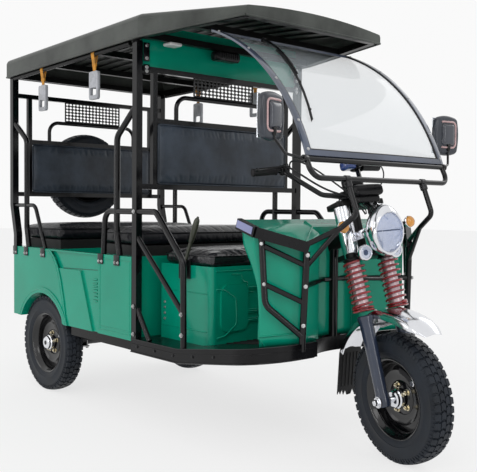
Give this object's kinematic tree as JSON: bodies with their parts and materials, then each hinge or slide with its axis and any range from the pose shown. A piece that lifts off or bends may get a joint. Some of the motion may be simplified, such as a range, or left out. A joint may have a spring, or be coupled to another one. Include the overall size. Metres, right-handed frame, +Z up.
{
  "type": "electric tricycle",
  "caption": "Passenger electric tricycle with a hard roof on tube posts, curved windscreen, facing benches, driver's seat, raked fork and free-turning wheels.",
  "frame": {"origin": "middle of the bounding box at ground level", "axes": "+X towards the front wheel, +Y towards the vehicle's left, +Z up"},
  "size_m": [2.8301, 1.2658, 1.9308],
  "materials": {
    "black_frame": "satin",
    "black_tube": "gloss",
    "spring_steel": "satin",
    "axle_grey": "satin",
    "battery_case": "matte",
    "black_floor": "matte",
    "green_paint": "gloss",
    "seat_board": "matte",
    "black_vinyl": "satin",
    "backrest_vinyl": "satin",
    "grille_metal": "satin",
    "roof_plastic": "satin",
    "screen": "gloss",
    "fork_black": "gloss",
    "red_spring": "gloss",
    "chrome_trim": "polished",
    "flap_rubber": "matte",
    "grip_rubber": "matte",
    "lamp_bowl": "polished",
    "lamp_lens": "gloss",
    "lamp_chrome": "polished",
    "black_plastic": "satin",
    "tyre_rubber": "matte",
    "wheel_black": "gloss",
    "cable_rubber": "satin",
    "handle_plastic": "gloss",
    "lever_metal": "satin"
  },
  "bodies": {
    "vehicle": {"chassis_frame": "black_frame", "leaf_springs": "spring_steel", "rear_axle": "axle_grey", "battery_pack": "battery_case", "front_floor": "black_floor", "passenger_floor": "black_floor", "rear_body": "green_paint", "side_panels": "green_paint", "middle_seat_base": "green_paint", "driver_seat_box": "green_paint", "seat_boards": "seat_board", "rear_seat_cushion": "black_vinyl", "middle_seat_cushion": "black_vinyl", "driver_seat_cushion": "black_vinyl", "rear_post_frame": "black_tube", "middle_post_frame": "black_tube", "rear_backrest": "backrest_vinyl", "middle_backrest": "backrest_vinyl", "spare_carrier": "black_tube", "racks": "black_tube", "mesh_panels": "grille_metal", "rear_side_rails": "black_tube", "middle_side_rails": "black_tube", "guard_braces": "black_tube", "roof_shell": "roof_plastic", "roof_frame": "black_frame", "header_panel": "green_paint", "windscreen": "screen", "windscreen_frame": "black_tube", "leg_shield": "green_paint", "front_guard": "black_tube", "steering_neck": "black_frame", "mirrors": "black_plastic", "spare_tyre": "tyre_rubber", "spare_wheel": "wheel_black", "guard_bands": "black_plastic", "screen_stays": "black_tube", "interior_unit": "black_plastic", "wiper": "black_plastic", "handbrake_lever": "black_tube", "hanging_handles": "handle_plastic"},
    "steering": {"fork": "fork_black", "fork_springs": "red_spring", "front_fender": "chrome_trim", "mud_flap": "flap_rubber", "handlebar": "black_tube", "grips": "grip_rubber", "levers": "lever_metal", "headlamp": "lamp_bowl", "headlamp_lens": "lamp_lens", "front_lamps": "lamp_chrome", "instrument_bracket": "black_plastic", "control_cables": "cable_rubber"},
    "front_wheel": {"front_tyre": "tyre_rubber", "front_wheel": "wheel_black"},
    "rear_right_wheel": {"rear_right_tyre": "tyre_rubber", "rear_right_wheel": "wheel_black"},
    "rear_left_wheel": {"rear_left_tyre": "tyre_rubber", "rear_left_wheel": "wheel_black"}
  },
  "joints": [
    {"name": "steering_turn", "type": "hinge", "parent": "vehicle", "child": "steering", "pos_m": [1.11197, 0, 0.25174], "axis": [-0.2924, 0, 0.9563], "range_deg": [-27, 53]},
    {"name": "front_wheel_spin", "type": "hinge", "parent": "steering", "child": "front_wheel", "pos_m": [1.1539, -0.01012, 0.26456], "axis": [0.2151, 0.9744, 0.0658], "continuous": true},
    {"name": "rear_right_wheel_spin", "type": "hinge", "parent": "vehicle", "child": "rear_right_wheel", "pos_m": [-0.895, -0.475, 0.265], "axis": [0, 1, 0], "continuous": true},
    {"name": "rear_left_wheel_spin", "type": "hinge", "parent": "vehicle", "child": "rear_left_wheel", "pos_m": [-0.895, 0.475, 0.265], "axis": [0, 1, 0], "continuous": true}
  ]
}
